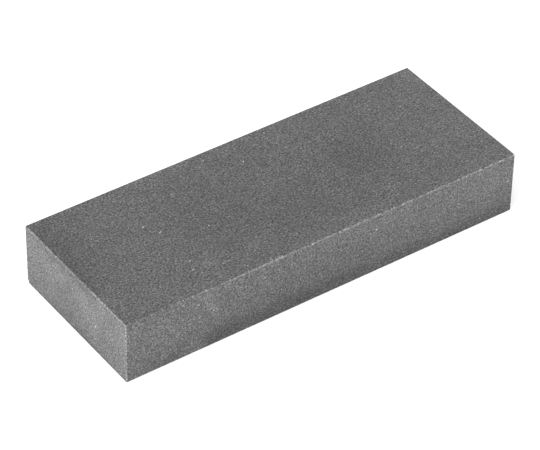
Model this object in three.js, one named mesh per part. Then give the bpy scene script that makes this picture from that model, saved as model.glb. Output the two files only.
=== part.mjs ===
// A sharpening whetstone: one bar of pressed and fired abrasive, rectangular and with
// eased arrises. The same grit runs right through it, so both broad faces hone.
//
// Millimetres, +Z up. The origin is the centre of the face that it lies on, +X runs along
// the length and +Y across the width.

import * as THREE from "three";

// Driving dimensions of the fired bar.
const LENGTH = 130;
const WIDTH = 50;
const THICKNESS = 20;

// The flat that breaks every sharp edge, measured along each face that it cuts.
const ARRIS = 0.25;

const FIRED_GRIT = { name: "fired_grit", color: 0x5d5d5d, roughness: 0.9, metalness: 0 };

// The bar seen from above: a rectangle whose four upright edges are cut back by the arris.
function barOutline() {
  const endX = LENGTH / 2;
  const sideY = WIDTH / 2;
  const outline = new THREE.Shape();
  outline.moveTo(endX - ARRIS, -sideY);
  outline.lineTo(endX, -sideY + ARRIS);
  outline.lineTo(endX, sideY - ARRIS);
  outline.lineTo(endX - ARRIS, sideY);
  outline.lineTo(-endX + ARRIS, sideY);
  outline.lineTo(-endX, sideY - ARRIS);
  outline.lineTo(-endX, -sideY + ARRIS);
  outline.lineTo(-endX + ARRIS, -sideY);
  outline.closePath();
  return outline;
}

// The outline raised to the bar's thickness. The bevel cuts the arris round both broad faces
// and lies inside the outline, so the bar keeps its full length and width.
function barGeometry() {
  const geometry = new THREE.ExtrudeGeometry(barOutline(), {
    depth: THICKNESS - 2 * ARRIS,
    steps: 1,
    bevelEnabled: true,
    bevelThickness: ARRIS,
    bevelSize: ARRIS,
    bevelOffset: -ARRIS,
    bevelSegments: 1,
  });
  return geometry.translate(0, 0, ARRIS);
}

function abrasiveBar() {
  const mesh = new THREE.Mesh(barGeometry(), new THREE.MeshStandardMaterial(FIRED_GRIT));
  mesh.name = "abrasive_bar";
  return mesh;
}

const whetstone = new THREE.Group();
whetstone.add(abrasiveBar());

export default whetstone;
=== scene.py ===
"""A sharpening whetstone: one bar of pressed and fired abrasive, lying flat on a pale floor.

The bar is a block with a fine net of faces along its arrises. The arrises are crumbled,
chipped and blunted at the corners, and the faces carry shallow dings and pale grains. Its
grit, patches, pale rubbed arrises with a painted highlight along them, and painted shade and a
painted contact shadow towards the base are one procedural material that reads Object coordinates.
"""
import math
import random

import bmesh
import bpy
from mathutils import Euler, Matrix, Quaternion, Vector


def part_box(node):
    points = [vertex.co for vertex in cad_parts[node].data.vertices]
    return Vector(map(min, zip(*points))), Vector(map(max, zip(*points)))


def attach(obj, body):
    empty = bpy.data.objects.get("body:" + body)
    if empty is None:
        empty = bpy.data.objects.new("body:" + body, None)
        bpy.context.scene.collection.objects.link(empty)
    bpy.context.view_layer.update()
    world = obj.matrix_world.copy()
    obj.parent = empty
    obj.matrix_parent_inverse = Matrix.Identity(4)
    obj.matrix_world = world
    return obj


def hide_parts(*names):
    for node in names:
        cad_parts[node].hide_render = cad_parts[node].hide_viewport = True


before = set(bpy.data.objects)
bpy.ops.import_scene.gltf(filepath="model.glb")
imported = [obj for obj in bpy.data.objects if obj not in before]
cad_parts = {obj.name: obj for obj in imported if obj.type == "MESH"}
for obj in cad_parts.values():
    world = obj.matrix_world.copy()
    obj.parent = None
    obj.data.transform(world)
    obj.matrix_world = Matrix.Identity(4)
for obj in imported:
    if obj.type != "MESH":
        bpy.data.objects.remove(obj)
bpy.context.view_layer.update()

MM = 0.001
BAR_LOW, BAR_HIGH = (Vector(corner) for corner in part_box("abrasive_bar"))
BAR_CENTRE = (BAR_LOW + BAR_HIGH) / 2
BAR_SIZE = BAR_HIGH - BAR_LOW
BAR_HALF = BAR_SIZE / 2
X, Y, Z = range(3)


# ------------------------------------------------------------------ camera and studio

CAMERA_AZIMUTH = math.radians(-35.83)
CAMERA_ELEVATION = math.radians(39.14)
CAMERA_ROLL = math.radians(1.07)
CAMERA_DISTANCE = 814 * MM
CAMERA_AIM = BAR_CENTRE + Vector((-2.8, -2.2, 0.1)) * MM
LENS_MM = 196.2
SENSOR_MM = 36.0
CAMERA_NEAR = 10 * MM


def towards(azimuth, elevation):
    """The unit vector from the object to something at that azimuth and elevation."""
    level = math.cos(elevation)
    return Vector((math.sin(azimuth) * level, -math.cos(azimuth) * level, math.sin(elevation)))


def place_camera():
    back = towards(CAMERA_AZIMUTH, CAMERA_ELEVATION)
    bpy.ops.object.camera_add(location=CAMERA_AIM + back * CAMERA_DISTANCE)
    camera = bpy.context.object
    upright = back.to_track_quat("Z", "Y")
    camera.rotation_euler = (upright @ Quaternion((0, 0, 1), CAMERA_ROLL)).to_euler()
    camera.data.lens = LENS_MM
    camera.data.sensor_width = SENSOR_MM
    camera.data.clip_start = CAMERA_NEAR
    bpy.context.scene.camera = camera


# The floor lies a hair below the bar, and glows a little so that it stays a clean white.
WHITE = (1, 1, 1, 1)
FLOOR_SIDE = 12.0
FLOOR_DROP = 0.02 * MM
FLOOR_TONE = 0.93
FLOOR_ROUGHNESS = 0.95
FLOOR_GLOW = 0.25
WORLD_STRENGTH = 1.0
KEY_AZIMUTH = math.radians(-72)
KEY_ELEVATION = math.radians(13)
KEY_STRENGTH = 4.5
KEY_SOFTNESS = math.radians(35)


def lay_floor():
    bpy.ops.mesh.primitive_plane_add(size=FLOOR_SIDE, location=(0, 0, BAR_LOW.z - FLOOR_DROP))
    floor = bpy.context.object
    floor.name = "studio_floor"
    paper = bpy.data.materials.new("white_paper")
    paper.use_nodes = True
    shader = paper.node_tree.nodes["Principled BSDF"]
    shader.inputs["Base Color"].default_value = (FLOOR_TONE, FLOOR_TONE, FLOOR_TONE, 1)
    shader.inputs["Roughness"].default_value = FLOOR_ROUGHNESS
    shader.inputs["Specular IOR Level"].default_value = 0.0
    shader.inputs["Emission Color"].default_value = WHITE
    shader.inputs["Emission Strength"].default_value = FLOOR_GLOW
    floor.data.materials.append(paper)


def light_studio():
    world = bpy.data.worlds.new("white_room")
    world.use_nodes = True
    sky = world.node_tree.nodes["Background"]
    sky.inputs["Color"].default_value = WHITE
    sky.inputs["Strength"].default_value = WORLD_STRENGTH
    bpy.context.scene.world = world
    bpy.ops.object.light_add(type="SUN")
    key = bpy.context.object
    key.name = "key_light"
    key.rotation_euler = towards(KEY_AZIMUTH, KEY_ELEVATION).to_track_quat("Z", "Y").to_euler()
    key.data.energy = KEY_STRENGTH
    key.data.angle = KEY_SOFTNESS
    bpy.context.scene.view_settings.view_transform = "Standard"


# ------------------------------------------------------------------ modelling by hand

def only(piece):
    """Selects this piece and nothing else."""
    bpy.ops.object.select_all(action="DESELECT")
    piece.select_set(True)
    bpy.context.view_layer.objects.active = piece


def edit(piece):
    only(piece)
    bpy.ops.object.mode_set(mode="EDIT")


def done():
    bpy.ops.object.mode_set(mode="OBJECT")


def pick(piece, kind, wanted):
    """In edit mode, picks just the vertices, edges or faces that are wanted."""
    bpy.ops.mesh.select_mode(type=kind)
    bpy.ops.mesh.select_all(action="DESELECT")
    net = bmesh.from_edit_mesh(piece.data)
    for part in {"VERT": net.verts, "EDGE": net.edges, "FACE": net.faces}[kind]:
        if wanted(part):
            part.select_set(True)
    bmesh.update_edit_mesh(piece.data)


def gaps(point):
    """How far a point lies inside each pair of the block's faces, the smallest first."""
    return sorted(BAR_HALF[axis] - abs(point[axis] - BAR_CENTRE[axis]) for axis in (X, Y, Z))


def apply_modifier(piece, name):
    only(piece)
    bpy.ops.object.modifier_apply(modifier=name)


# ------------------------------------------------------------------ the block and its net

# The width of the net's faces, and how often those next to the arrises are divided again.
NET = 1.2 * MM
RIM_CUTS = 5
EASING = 0.17 * MM
# Lengths below this count as nothing.
HAIR = 0.001 * MM


def score_rim():
    """Cuts a line round every face, one net width in from its edges."""
    for axis in (X, Y, Z):
        for side in (-1, 1):
            place, normal = BAR_CENTRE.copy(), Vector((0, 0, 0))
            place[axis] += side * (BAR_HALF[axis] - NET)
            normal[axis] = 1
            bpy.ops.mesh.select_all(action="SELECT")
            bpy.ops.mesh.bisect(plane_co=place, plane_no=normal)


def divide_along(block, axis):
    """Divides the long edges that run along an axis into net widths."""
    def runs_long(edge):
        run = edge.verts[1].co - edge.verts[0].co
        return abs(run[axis]) > 2 * NET and abs(run[axis]) > run.length - HAIR
    pick(block, "EDGE", runs_long)
    widths = round((BAR_SIZE[axis] - 2 * NET) / NET)
    bpy.ops.mesh.subdivide(number_cuts=widths - 1)


def refine_rim(block):
    """Divides the faces next to the arrises again, so that the arrises can crumble."""
    pick(block, "FACE", lambda face: gaps(face.calc_center_median())[1] < NET)
    bpy.ops.mesh.subdivide(number_cuts=RIM_CUTS)


def ease_arrises(block):
    """Takes the sharpness off the twelve arrises."""
    def on_arris(edge):
        return all(gaps(vert.co)[1] < HAIR for vert in edge.verts)
    pick(block, "EDGE", on_arris)
    bpy.ops.mesh.bevel(offset=EASING, segments=1, affect="EDGES")


def make_block():
    bpy.ops.mesh.primitive_cube_add(size=1, location=BAR_CENTRE, scale=BAR_SIZE)
    block = bpy.context.object
    block.name = block.data.name = "fired_bar"
    only(block)
    bpy.ops.object.transform_apply(location=True, rotation=True, scale=True)
    edit(block)
    score_rim()
    for axis in (X, Y, Z):
        divide_along(block, axis)
    refine_rim(block)
    ease_arrises(block)
    done()
    return block


# ------------------------------------------------------------------ crumbled arrises

CRUMBLE_REACH = 0.36 * MM
# Each layer: the size of its lumps and how deep it eats in.
CRUMBLE_LAYERS = {
    "wander": (5.0 * MM, 0.08 * MM),
    "crumble": (0.9 * MM, 0.13 * MM),
    "grains": (0.35 * MM, 0.10 * MM),
}


def weigh_arrises(block):
    """A vertex group that is full on the arrises and fades out across the rim."""
    group = block.vertex_groups.new(name="arrises")
    for vert in block.data.vertices:
        reach = gaps(vert.co)[1] / CRUMBLE_REACH
        if reach < 1:
            group.add([vert.index], (1 - reach) ** 2, "REPLACE")
    return group.name


def crumble_arrises(block):
    """Eats the arrises away, always inwards, so that the block keeps its size."""
    group = weigh_arrises(block)
    for name, (lump, depth) in CRUMBLE_LAYERS.items():
        texture = bpy.data.textures.new(name, "CLOUDS")
        texture.noise_scale = lump
        texture.noise_depth = 1
        layer = block.modifiers.new(name, "DISPLACE")
        layer.texture = texture
        layer.texture_coords = "LOCAL"
        layer.vertex_group = group
        layer.mid_level = 1.0
        layer.strength = depth
        apply_modifier(block, name)
    block.vertex_groups.clear()


# ------------------------------------------------------------------ chips and dings

PEBBLE_KINDS = 4
PEBBLE_ROUGHNESS = 0.14
# How even the roughness is, and how much of it goes straight outwards.
PEBBLE_EVENNESS = 0.5
PEBBLE_OUTWARD = 0.5
# How often a pebble's faces are divided.
COARSE, FINE = 2, 3


def make_pebble(seed, detail):
    """A rough lump about one unit in radius, which cuts a chip of its own shape."""
    bpy.ops.mesh.primitive_ico_sphere_add(subdivisions=detail, radius=1)
    pebble = bpy.context.object
    edit(pebble)
    bpy.ops.mesh.select_all(action="SELECT")
    bpy.ops.transform.vertex_random(
        offset=PEBBLE_ROUGHNESS, uniform=PEBBLE_EVENNESS, normal=PEBBLE_OUTWARD, seed=seed)
    done()
    return pebble


def copy_pebble(pebble, place, turn, size):
    copy = pebble.copy()
    copy.data = pebble.data.copy()
    copy.location, copy.rotation_euler, copy.scale = place, turn, size
    bpy.context.scene.collection.objects.link(copy)
    return copy


def carve(block, name, cuts, detail, finish):
    """Cuts chips out of the block. Each cut is a place, a turn and a size, and the chips'
    walls take that finish."""
    pebbles = [make_pebble(seed, detail) for seed in range(PEBBLE_KINDS)]
    for pebble in pebbles:
        pebble.data.materials.append(finish)
    copies = [copy_pebble(pebbles[index % PEBBLE_KINDS], *cut) for index, cut in enumerate(cuts)]
    bpy.ops.object.select_all(action="DESELECT")
    for copy in copies:
        copy.select_set(True)
    bpy.context.view_layer.objects.active = copies[0]
    bpy.ops.object.join()
    cutter = bpy.context.object
    bpy.ops.object.transform_apply(location=True, rotation=True, scale=True)
    cut = block.modifiers.new(name, "BOOLEAN")
    cut.operation = "DIFFERENCE"
    cut.solver = "MANIFOLD"
    cut.object = cutter
    apply_modifier(block, name)
    for tool in [cutter] + pebbles:
        bpy.data.objects.remove(tool)


def any_turn(draw):
    return Euler([draw.uniform(0, math.tau) for _ in range(3)])


def arrises():
    """Each of the twelve arrises, as the axis it runs along and the sides it lies between."""
    for axis in (X, Y, Z):
        for side_a in (-1, 1):
            for side_b in (-1, 1):
                yield axis, side_a, side_b


def arris_point(axis, side_a, side_b, along):
    """The point at a fraction of the way along an arris."""
    point = BAR_CENTRE.copy()
    across = [other for other in (X, Y, Z) if other != axis]
    point[axis] = BAR_LOW[axis] + along * BAR_SIZE[axis]
    point[across[0]] += side_a * BAR_HALF[across[0]]
    point[across[1]] += side_b * BAR_HALF[across[1]]
    return point


CHIP_SPACING = 2.6 * MM
CHIP_SMALL, CHIP_LARGE = 0.14 * MM, 0.50 * MM
# Where a chip lies in its own share of the arris, and how its three radii differ.
CHIP_PLACE = (0.2, 0.8)
CHIP_STRETCH = (0.6, 1.3)
# The higher this power, the rarer the large chips.
CHIP_RARITY = 5


def arris_chips(draw):
    """Small chips all along the arrises, most of them the smallest size."""
    cuts = []
    for axis, side_a, side_b in arrises():
        count = int(BAR_SIZE[axis] / CHIP_SPACING)
        for index in range(count):
            along = (index + draw.uniform(*CHIP_PLACE)) / count
            radius = CHIP_SMALL + (CHIP_LARGE - CHIP_SMALL) * draw.random() ** CHIP_RARITY
            size = [radius * draw.uniform(*CHIP_STRETCH) for _ in range(3)]
            cuts.append((arris_point(axis, side_a, side_b, along), any_turn(draw), size))
    return cuts


CORNER_SMALL, CORNER_LARGE = 0.16 * MM, 0.28 * MM
WORST_CORNER = (-1, 1, -1)
WORST_CORNER_CHIP = 1.0 * MM


def corner_chips(draw):
    """One blunting chip at each of the eight corners."""
    cuts = []
    for side_x in (-1, 1):
        for side_y in (-1, 1):
            for side_z in (-1, 1):
                sides = Vector((side_x, side_y, side_z))
                place = BAR_CENTRE + BAR_HALF * sides
                radius = draw.uniform(CORNER_SMALL, CORNER_LARGE)
                if (side_x, side_y, side_z) == WORST_CORNER:
                    radius = WORST_CORNER_CHIP
                cuts.append((place, any_turn(draw), [radius] * 3))
    return cuts


# The bigger chips of the front top arris: how far along each is, its reach onto the honing
# face and its width in millimetres. Where the grit splintered they are pale inside.
DULL_CHIPS = (
    (0.08, 0.6, 0.5), (0.11, 0.6, 0.8), (0.16, 0.5, 0.5), (0.19, 0.8, 0.6), (0.21, 0.6, 0.4),
    (0.41, 0.7, 0.5), (0.44, 0.6, 0.7), (0.50, 0.6, 0.9), (0.56, 0.5, 0.6), (0.63, 0.5, 0.8),
    (0.71, 0.5, 0.5), (0.78, 0.5, 0.9), (0.88, 0.5, 0.6),
)
SPLINTERED_CHIPS = (
    (0.338, 0.9, 0.4), (0.343, 0.7, 0.3), (0.356, 2.2, 0.4), (0.359, 1.2, 0.5),
    (0.368, 1.3, 0.4), (0.376, 1.1, 0.4), (0.384, 0.7, 0.6),
)
FRONT_CHIP_DEPTH = 0.18 * MM
FRONT_CHIP_TURN = math.radians(-34)


def front_chips(chips):
    """Chips of those places and sizes, all slanting the same way onto the honing face."""
    cuts = []
    for along, reach, width in chips:
        size = (width / 2 * MM, reach * MM, FRONT_CHIP_DEPTH)
        cuts.append((arris_point(X, -1, 1, along), Euler((0, 0, FRONT_CHIP_TURN)), size))
    return cuts


# How many hollows each of the two faces across an axis has.
DINGS_PER_FACE = {X: 3, Y: 8, Z: 20}
GRAINS_PER_FACE = {X: 2, Y: 4, Z: 6}
DING_RADIUS = 0.26 * MM
GRAIN_RADIUS = 0.2 * MM
# How much the hollows differ in size, and how much the three radii of one differ.
HOLLOW_SPREAD = (0.6, 1.2)
HOLLOW_STRETCH = (0.8, 1.3)
# How far above the face a hollow's pebble stands, in radii, and how much of the face's length
# and width the hollows may fall on.
HOLLOW_LIFT = 0.6
HOLLOW_REACH = 0.96


def scattered(draw, per_face, base):
    """Shallow hollows scattered on the six faces, of about the base radius."""
    cuts = []
    for axis, count in per_face.items():
        for side in (-1, 1):
            for _ in range(count):
                radius = base * draw.uniform(*HOLLOW_SPREAD)
                place = BAR_CENTRE + Vector([
                    BAR_HALF[other] * draw.uniform(-HOLLOW_REACH, HOLLOW_REACH) for other in (X, Y, Z)])
                place[axis] = BAR_CENTRE[axis] + side * (BAR_HALF[axis] + radius * HOLLOW_LIFT)
                size = [radius * draw.uniform(*HOLLOW_STRETCH) for _ in range(3)]
                cuts.append((place, any_turn(draw), size))
    return cuts


# The pale grains of the honing face: how far along and across each lies, and its length and
# width in millimetres.
HONING_GRAINS = (
    (0.20, 0.63, 1.1, 0.45), (0.22, 0.54, 0.9, 0.4), (0.22, 0.25, 0.8, 0.4),
    (0.21, 0.18, 0.6, 0.5), (0.50, 0.80, 0.7, 0.5), (0.43, 0.93, 0.5, 0.4),
    (0.84, 0.36, 0.5, 0.5), (0.31, 0.78, 0.5, 0.35), (0.09, 0.70, 0.4, 0.3),
)
GRAIN_THICKNESS = 0.16 * MM
GRAIN_LIE = math.radians(28)


def honing_grains():
    """The hollows of the pale grains in the honing face."""
    cuts = []
    for along, across, length, width in HONING_GRAINS:
        place = BAR_LOW + Vector((along * BAR_SIZE.x, across * BAR_SIZE.y, BAR_SIZE.z))
        size = (length / 2 * MM, width / 2 * MM, GRAIN_THICKNESS)
        cuts.append((place, Euler((0, 0, GRAIN_LIE)), size))
    return cuts


def weld(piece):
    """Merges the points that the cuts leave a hair apart."""
    edit(piece)
    bpy.ops.mesh.select_all(action="SELECT")
    bpy.ops.mesh.remove_doubles(threshold=HAIR)
    done()


SEED = 11
SMOOTH_BELOW = math.radians(30)


def make_bar():
    grit = fired_grit()
    pale, splinter = crystal("pale_grain", PALE_TONE), crystal("splintered_grit", SPLINTER_TONE)
    bar = make_block()
    for finish in (grit, pale, splinter):
        bar.data.materials.append(finish)
    crumble_arrises(bar)
    draw = random.Random(SEED)
    carve(bar, "arris_chips", arris_chips(draw), COARSE, grit)
    carve(bar, "dull_chips", front_chips(DULL_CHIPS), COARSE, grit)
    carve(bar, "splintered_chips", front_chips(SPLINTERED_CHIPS), COARSE, splinter)
    carve(bar, "corner_chips", corner_chips(draw), FINE, grit)
    carve(bar, "dings", scattered(draw, DINGS_PER_FACE, DING_RADIUS), COARSE, grit)
    carve(bar, "scattered_grains", scattered(draw, GRAINS_PER_FACE, GRAIN_RADIUS), COARSE, pale)
    carve(bar, "honing_grains", honing_grains(), COARSE, pale)
    weld(bar)
    only(bar)
    bpy.ops.object.shade_smooth_by_angle(angle=SMOOTH_BELOW)
    return bar


# ------------------------------------------------------------------ shader nodes

NOISE_DETAIL = 2.0
NOISE_MIDDLE = (0.5, 0.5, 0.5)
# Soft noise runs from 0 to 1, and most of it lies in this span.
SOFT_SPAN = (0.3, 0.7)


def add_node(tree, kind, inputs=None, **settings):
    """Adds a node, sets its options, and gives each input a value or another node's output."""
    node = tree.nodes.new(kind)
    for name, value in settings.items():
        setattr(node, name, value)
    for key, value in (inputs or {}).items():
        if isinstance(value, bpy.types.NodeSocket):
            tree.links.new(value, node.inputs[key])
        else:
            node.inputs[key].default_value = value
    return node


def math_of(tree, operation, *values):
    node = add_node(tree, "ShaderNodeMath", dict(enumerate(values)), operation=operation)
    return node.outputs[0]


def vector_of(tree, operation, *values):
    node = add_node(tree, "ShaderNodeVectorMath", dict(enumerate(values)), operation=operation)
    return node.outputs["Vector"]


def ramp_between(tree, value, start, end, low, high, kind="SMOOTHSTEP"):
    """Goes from low to high as the value goes from start to end."""
    limits = {"Value": value, "From Min": start, "From Max": end, "To Min": low, "To Max": high}
    node = add_node(tree, "ShaderNodeMapRange", limits, interpolation_type=kind)
    return node.outputs["Result"]


def noise_of(tree, place, size, detail=NOISE_DETAIL, offset=0.0):
    """Soft noise from 0 to 1 with lumps of that size in millimetres."""
    moved = vector_of(tree, "ADD", place, (offset, offset, offset))
    node = add_node(tree, "ShaderNodeTexNoise",
                    {"Vector": moved, "Scale": 1 / size, "Detail": detail})
    return node.outputs["Fac"]


def cells_of(tree, place, size):
    """Cells of that size in millimetres: a random value for each, and the distance in it."""
    node = add_node(tree, "ShaderNodeTexVoronoi", {"Vector": place, "Scale": 1 / size})
    value = add_node(tree, "ShaderNodeSeparateColor", {"Color": node.outputs["Color"]})
    return value.outputs["Red"], node.outputs["Distance"]


# ------------------------------------------------------------------ fired grit

# From here on sizes are in millimetres, and places are measured from the bar's centre.
HALF_X, HALF_Y, HALF_Z = BAR_HALF / MM

# How far each layer's noise is moved, so that no two layers have the same lumps.
CLOUD_APART = 40
BROAD_APART = 90
RAGGED_APART = 3
STRETCH_APART = 17
WANDER_APART = 71
FLECK_APART = 5

# The layers of the grit: the size of each one's grains or lumps, and what it does to the tone.
GRIT_TONE = 0.106
GRAIN_SIZE = 0.36
GRAIN_GAINS = (0.64, 1.36)
RIPPLE_SIZE = 0.5
RIPPLE_SPAN = (0.2, 0.8)
RIPPLE_GAINS = (0.48, 1.52)
CLOUD_SIZE = 5.0
CLOUD_GAINS = (0.95, 1.05)
BROAD_SIZE = 30
BROAD_GAINS = (0.975, 1.025)

# Dark pores, light grains and a few bright ones: the size of their cells, the share of the
# cells that hold one, its radius, what it does to the tone, and how far its layer is moved.
SPECKLES = (
    (0.9, 0.6, 0.18, 0.45, 7),
    (1.1, 0.55, 0.16, 2.1, 23),
    (4.5, 0.35, 0.20, 2.4, 61),
)
# A dot is full up to the first of these parts of its radius, and is gone at the second.
DOT_CORE, DOT_EDGE = 0.6, 1.3

# The lumps that the light catches. Their height is in metres, as the bump node takes it.
LUMP_SIZE = 0.6
LUMP_HEIGHT = 0.15 * MM
LUMP_STRENGTH = 0.6

# The brightest grains are less rough than the rest.
BRIGHT_GRIT = (1.2, 2.5)
GRIT_ROUGHNESS = (0.92, 0.55)
GRIT_SHINE = 0.35

# Darker and paler patches: the middle and reach of each, and what it does to the tone.
# On the honing face the paler patches make it lighter towards its right-hand end and far edge.
HONING_PATCHES = (
    ((-65, 8, 10), (13, 28, 4), 0.86),
    ((-65, 4, 10), (5, 34, 3), 0.87),
    ((-22, 0, 10), (18, 16, 4), 0.90),
    ((28, 1, 10), (11, 12, 4), 0.86),
    ((8, -8, 10), (34, 17, 4), 0.94),
    ((-14, -14, 10), (60, 13, 4), 0.955),
    ((-42, 15, 10), (14, 10, 4), 1.07),
    ((-26, 24, 10), (18, 6, 3), 1.06),
    ((-63, -13, 10), (4, 8, 3), 1.14),
    ((-62, -26, 10), (12, 4, 3), 0.86),
    ((62, 4, 10), (26, 32, 4), 1.06),
    ((65, 22, 10), (7, 10, 3), 1.12),
    ((0, 28, 10), (85, 10, 3), 1.08),
    ((-33, -15, 10), (6, 4, 3), 1.10),
    ((-17, -16, 10), (6, 4, 3), 1.09),
)
FRONT_PATCHES = (
    ((-4, -25, -3), (46, 3, 12), 0.90),
    ((-34, -25, -7), (10, 3, 5), 0.88),
    ((-39, -25, 7), (5, 3, 4), 1.10),
    ((54, -25, 4), (26, 3, 10), 1.09),
    ((-59, -25, 0), (19, 3, 14), 1.03),
    ((-52, -25, -9), (6, 3, 3), 0.88),
)
NEAR_END_PATCHES = (
    ((-65, 0, -11), (3, 22, 7), 0.76),
    ((-65, 3, -1), (3, 8, 9), 0.91),
    ((-65, -7, 1), (3, 6.5, 6), 1.17),
    ((-65, -8, -4), (3, 3, 4.5), 1.10),
    ((-65, -15, -1), (3, 5, 6), 0.92),
    ((-65, 17, 4), (3, 9, 7), 1.05),
    ((-65, 14, 10), (3, 20, 4), 1.08),
)
HIDDEN_PATCHES = (
    ((20, 25, -8), (38, 3, 6), 0.84),
    ((-42, 25, 3), (16, 3, 8), 1.07),
    ((48, 25, 5), (9, 3, 5), 1.09),
    ((-8, 25, 4), (12, 3, 6), 0.94),
    ((65, 6, -9), (3, 15, 6), 0.86),
    ((65, -10, 2), (3, 7, 6), 1.10),
    ((65, 13, 4), (3, 6, 5), 0.94),
    ((-8, 4, -10), (34, 15, 3), 0.92),
    ((42, -7, -10), (14, 11, 3), 0.92),
    ((-52, -10, -10), (13, 11, 3), 1.06),
)
# A smear slants down the long front side. These patches aren't pushed about.
SMEAR = (
    ((-39.4, -25, 5.2), (1.6, 3, 1.6), 1.20),
    ((-38.3, -25, 3.7), (1.7, 3, 1.7), 1.32),
    ((-37.0, -25, 2.0), (1.6, 3, 1.7), 1.30),
    ((-35.9, -25, 0.4), (1.4, 3, 1.5), 1.18),
)
TONE_PATCHES = HONING_PATCHES + FRONT_PATCHES + NEAR_END_PATCHES + HIDDEN_PATCHES
# A patch is full up to this part of its reach.
PATCH_CORE = 0.3
# How the patches are pushed about: the size of the pushes and how far they go.
PATCH_LUMP = 5.0
PATCH_WANDER = 7.0


def product(tree, gains):
    """All the gains multiplied together."""
    total = gains[0]
    for gain in gains[1:]:
        total = math_of(tree, "MULTIPLY", total, gain)
    return total


def wandering(tree, spot):
    """The place, pushed about so that the patches have uneven edges."""
    noise = add_node(tree, "ShaderNodeTexNoise",
                     {"Vector": spot, "Scale": 1 / PATCH_LUMP, "Detail": NOISE_DETAIL})
    push = vector_of(tree, "SUBTRACT", noise.outputs["Color"], NOISE_MIDDLE)
    push = vector_of(tree, "MULTIPLY", push, (PATCH_WANDER,) * 3)
    return vector_of(tree, "ADD", spot, push)


def patch_gain(tree, spot, middle, reach, gain):
    """A soft patch that changes the tone round its middle."""
    away = vector_of(tree, "SUBTRACT", spot, middle)
    away = vector_of(tree, "DIVIDE", away, reach)
    far = add_node(tree, "ShaderNodeVectorMath", {0: away}, operation="LENGTH").outputs["Value"]
    return ramp_between(tree, far, PATCH_CORE, 1.0, gain, 1.0)


def dots(tree, spot, size, share, radius, gain, offset):
    """Dots in a share of the cells: dark pores or light grains, as the gain says."""
    value, distance = cells_of(tree, vector_of(tree, "ADD", spot, (offset,) * 3), size)
    chosen = math_of(tree, "LESS_THAN", value, share)
    core, edge = radius * DOT_CORE / size, radius * DOT_EDGE / size
    near = ramp_between(tree, distance, core, edge, 1, 0)
    return ramp_between(tree, math_of(tree, "MULTIPLY", chosen, near), 0, 1, 1, gain)


def grit_gains(tree, spot):
    """What the grains, the ripple between them, soft clouds and the speckles do to the tone."""
    grain, _ = cells_of(tree, spot, GRAIN_SIZE)
    ripple = noise_of(tree, spot, RIPPLE_SIZE, detail=0.0)
    cloud = noise_of(tree, spot, CLOUD_SIZE, offset=CLOUD_APART)
    broad = noise_of(tree, spot, BROAD_SIZE, offset=BROAD_APART)
    gains = [
        ramp_between(tree, grain, 0, 1, *GRAIN_GAINS, kind="LINEAR"),
        ramp_between(tree, ripple, *RIPPLE_SPAN, *RIPPLE_GAINS, kind="LINEAR"),
        ramp_between(tree, cloud, *SOFT_SPAN, *CLOUD_GAINS),
        ramp_between(tree, broad, *SOFT_SPAN, *BROAD_GAINS),
    ]
    return gains + [dots(tree, spot, *speckle) for speckle in SPECKLES]


def face_gaps(tree, spot):
    """How far the surface lies inside the block's faces: along X, Y and Z."""
    size = vector_of(tree, "ABSOLUTE", spot)
    inside = vector_of(tree, "SUBTRACT", (HALF_X, HALF_Y, HALF_Z), size)
    parts = add_node(tree, "ShaderNodeSeparateXYZ", {0: inside})
    return [parts.outputs[name] for name in "XYZ"]


# An arris's rim goes from the first of these depths inside a face to the second.
RIM_INNER, RIM_OUTER = 0.4, 1.0
# How pale the handled arrises are made, as rubbed grit and as a painted highlight. The front top one
# is only a little pale before the first of these two places along it, and fully pale past the second,
# which is a third of the way along.
FRONT_TOP_START = (-46, -22)
FRONT_TOP_RUB_AND_HIGHLIGHT = (0.3, 1)
UPRIGHT_RUB_AND_HIGHLIGHT = 0.6
NEAR_TOP_RUB_AND_HIGHLIGHT = 0.85


def rubbed_and_highlit_arrises(tree, spot):
    """Where an arris is palest, as rubbed grit and a painted highlight: the front top one past its
    first third, and less so the two others that meet at the near front corner."""
    parts = add_node(tree, "ShaderNodeSeparateXYZ", {0: spot})
    along, across, height = (parts.outputs[name] for name in "XYZ")
    on_top = ramp_between(tree, height, HALF_Z - RIM_OUTER, HALF_Z - RIM_INNER, 0, 1)
    on_front = ramp_between(tree, across, RIM_INNER - HALF_Y, RIM_OUTER - HALF_Y, 1, 0)
    on_near_end = ramp_between(tree, along, RIM_INNER - HALF_X, RIM_OUTER - HALF_X, 1, 0)
    past_third = ramp_between(tree, along, *FRONT_TOP_START, *FRONT_TOP_RUB_AND_HIGHLIGHT)
    front_top = product(tree, [on_top, on_front, past_third])
    upright = product(tree, [on_front, on_near_end, UPRIGHT_RUB_AND_HIGHLIGHT])
    near_top = product(tree, [on_top, on_near_end, NEAR_TOP_RUB_AND_HIGHLIGHT])
    return math_of(tree, "MAXIMUM", front_top, math_of(tree, "MAXIMUM", upright, near_top))


# The pale line along the arrises, partly rubbed grit and partly a painted highlight: the depths
# between which it fades out, how uneven its edge is, and how many times narrower it is across the
# broad faces and beside the upright arrises.
LINE_FADE = (0.3, 0.8)
RAGGED_SIZE = 0.8
RAGGED_EDGE = (-0.10, 0.12)
BROAD_SQUEEZE = 3.0
UPRIGHT_SQUEEZE = 1.5
LINE_GAIN = 1.5
# How pale any arris's line is made, as rubbed grit and as a painted highlight: it changes along the
# way, in stretches of this size.
STRETCH_SIZE = 12
STRETCH_SPAN = (0.35, 0.65)
STRETCH_RUB_AND_HIGHLIGHT = (0.1, 0.45)
# Grit that lies this deep inside the faces starts to look broken, and is fully so at the
# second depth.
BROKEN_DEPTHS = (0.02, 0.09)
BROKEN_GAIN = 1.25


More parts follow.
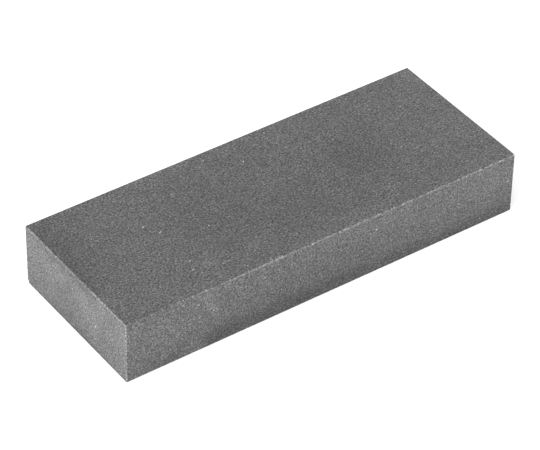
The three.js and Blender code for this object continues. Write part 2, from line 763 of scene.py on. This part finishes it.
def wear_and_highlight_gains(tree, spot):
    """Broken grit is paler in the chips. An uneven pale line, partly rubbed grit and partly a painted
    highlight, hugs the arrises and is wider down the narrow faces than across the broad ones."""
    gap_x, gap_y, gap_z = face_gaps(tree, spot)
    flat = math_of(tree, "MINIMUM", gap_x, gap_y)
    depth = math_of(tree, "MINIMUM", flat, gap_z)
    rim = math_of(tree, "MAXIMUM", gap_z, math_of(tree, "MULTIPLY", flat, BROAD_SQUEEZE))
    upright = math_of(tree, "MULTIPLY", math_of(tree, "MAXIMUM", gap_x, gap_y), UPRIGHT_SQUEEZE)
    second = math_of(tree, "MINIMUM", rim, upright)
    ragged = noise_of(tree, spot, RAGGED_SIZE, offset=RAGGED_APART)
    ragged = ramp_between(tree, ragged, *SOFT_SPAN, *RAGGED_EDGE)
    # Painted highlight, partly rubbed grit as well: the pale line along the arrises.
    line = ramp_between(tree, math_of(tree, "ADD", second, ragged), *LINE_FADE, 1, 0)
    stretch = noise_of(tree, spot, STRETCH_SIZE, offset=STRETCH_APART)
    stretch = ramp_between(tree, stretch, *STRETCH_SPAN, *STRETCH_RUB_AND_HIGHLIGHT)
    stretch = math_of(tree, "MAXIMUM", stretch, rubbed_and_highlit_arrises(tree, spot))
    worn_and_highlit = math_of(tree, "MULTIPLY", line, stretch)
    broken = ramp_between(tree, depth, *BROKEN_DEPTHS, 1.0, BROKEN_GAIN)
    return [broken, ramp_between(tree, worn_and_highlit, 0, 1, 1.0, LINE_GAIN)]


# The depths inside a narrow face, and inside an end, between which its darkening fades out.
SIDE_FADE = (0.2, 0.6)
END_FADE = (0.3, 0.6)
# The painted contact shadow along the bottom of the ends, the painted shade towards the base and the
# darker band: the heights between which each one fades out, and the share of the tone that it takes
# away where it is full.
FOOT_SHADOW_HEIGHTS = (-9.7, -9.1)
FOOT_SHADOW_LOSS = 0.5
BASE_SHADE_HEIGHTS = (-10, 6)
BASE_SHADE_LOSS = 0.12
BAND_HEIGHTS = (-7.6, -2.6)
BAND_LOSS = 0.28
# The band lies on the front face only, and starts between these two places along it.
BAND_FACE = (-24.9, -24.4)
BAND_START = (-41.5, -38)
# Its edge comes down by this much over this run, and wanders on the way.
BAND_RUN = (-39, 65)
BAND_FALL = 1.7
WANDER_SIZE = 7
WANDER_SPAN = (0.2, 0.8)
WANDER = 0.7


def side_gains(tree, spot):
    """The four narrow faces get painted shade that darkens them towards the base, a darker band lies
    low along the front one, and a painted contact shadow lies along the bottom of both ends."""
    gap_x, gap_y, _ = face_gaps(tree, spot)
    parts = add_node(tree, "ShaderNodeSeparateXYZ", {0: spot})
    along, across, height = (parts.outputs[name] for name in "XYZ")
    on_end = ramp_between(tree, gap_x, *END_FADE, 1, 0)
    # Painted contact shadow: a dark line along the bottom of both ends.
    foot_shadow = ramp_between(tree, height, *FOOT_SHADOW_HEIGHTS, FOOT_SHADOW_LOSS, 0.0)
    wander = noise_of(tree, spot, WANDER_SIZE, offset=WANDER_APART)
    wander = ramp_between(tree, wander, *WANDER_SPAN, -WANDER, WANDER)
    height = math_of(tree, "ADD", height, wander)
    on_side = ramp_between(tree, math_of(tree, "MINIMUM", gap_x, gap_y), *SIDE_FADE, 1, 0)
    # Painted shade: the four narrow faces are darkened towards the base.
    base_shade = ramp_between(tree, height, *BASE_SHADE_HEIGHTS, BASE_SHADE_LOSS, 0.0)
    on_front = ramp_between(tree, across, *BAND_FACE, 1, 0)
    started = ramp_between(tree, along, *BAND_START, 0, 1)
    fall = ramp_between(tree, along, *BAND_RUN, 0, BAND_FALL)
    band = math_of(tree, "ADD", height, fall)
    band = ramp_between(tree, band, *BAND_HEIGHTS, BAND_LOSS, 0.0)
    losses = (product(tree, [base_shade, on_side]), product(tree, [band, on_front, started]),
              product(tree, [foot_shadow, on_end]))
    return [math_of(tree, "SUBTRACT", 1.0, loss) for loss in losses]


def paint(tree, shader, tone):
    """Gives the shader a neutral grey of that tone."""
    colour = add_node(tree, "ShaderNodeCombineColor", {0: tone, 1: tone, 2: tone})
    tree.links.new(colour.outputs["Color"], shader.inputs["Base Color"])


def in_millimetres(tree, place):
    node = add_node(tree, "ShaderNodeVectorMath", {0: place, "Scale": 1 / MM}, operation="SCALE")
    return node.outputs["Vector"]


def raise_lumps(tree, shader, spot):
    """Makes the surface lumpy."""
    _, from_top = cells_of(tree, spot, LUMP_SIZE)
    lumps = math_of(tree, "SUBTRACT", 1.0, from_top)
    bump = add_node(tree, "ShaderNodeBump",
                    {"Height": lumps, "Strength": LUMP_STRENGTH, "Distance": LUMP_HEIGHT})
    tree.links.new(bump.outputs["Normal"], shader.inputs["Normal"])


def fired_grit():
    """The stone's own material: grit, patches, broken and rubbed grit, a painted highlight along the
    arrises, and painted shade and a painted contact shadow towards the base.
    """
    material = bpy.data.materials.new("grey_fired_grit")
    material.use_nodes = True
    tree = material.node_tree
    shader = tree.nodes["Principled BSDF"]
    place = add_node(tree, "ShaderNodeTexCoord").outputs["Object"]
    spot = in_millimetres(tree, vector_of(tree, "SUBTRACT", place, tuple(BAR_CENTRE)))
    grit = product(tree, grit_gains(tree, spot))
    pushed = wandering(tree, spot)
    patches = [patch_gain(tree, pushed, *stain) for stain in TONE_PATCHES]
    patches += [patch_gain(tree, spot, *streak) for streak in SMEAR]
    # Patches, the darker band, painted shade and a painted contact shadow near the base, and the pale
    # arris line with its painted highlight.
    patches_and_painted_light = product(tree, patches + side_gains(tree, spot) + wear_and_highlight_gains(tree, spot))
    paint(tree, shader, math_of(tree, "MULTIPLY", product(tree, [grit, patches_and_painted_light]), GRIT_TONE))
    rough = ramp_between(tree, grit, *BRIGHT_GRIT, *GRIT_ROUGHNESS)
    tree.links.new(rough, shader.inputs["Roughness"])
    shader.inputs["Specular IOR Level"].default_value = GRIT_SHINE
    raise_lumps(tree, shader, spot)
    return material


# ------------------------------------------------------------------ pale crystal

PALE_TONE = 0.42
SPLINTER_TONE = 0.27
FLECK_SIZE = 0.15
FLECK_DARK, FLECK_LIGHT = 0.7, 1.3
CRYSTAL_ROUGHNESS = (0.7, 0.45)


def crystal(name, pale_tone):
    """Pale crystal that lies open at the surface, flecked lighter and darker."""
    material = bpy.data.materials.new(name)
    material.use_nodes = True
    tree = material.node_tree
    shader = tree.nodes["Principled BSDF"]
    spot = in_millimetres(tree, add_node(tree, "ShaderNodeTexCoord").outputs["Object"])
    flecks = noise_of(tree, spot, FLECK_SIZE, offset=FLECK_APART)
    dark, light = pale_tone * FLECK_DARK, pale_tone * FLECK_LIGHT
    paint(tree, shader, ramp_between(tree, flecks, *SOFT_SPAN, dark, light))
    rough = ramp_between(tree, flecks, *SOFT_SPAN, *CRYSTAL_ROUGHNESS)
    tree.links.new(rough, shader.inputs["Roughness"])
    return material


# ------------------------------------------------------------------ the whole scene

place_camera()
light_studio()
lay_floor()
fired_bar = make_bar()
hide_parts("abrasive_bar")
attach(fired_bar, "root")
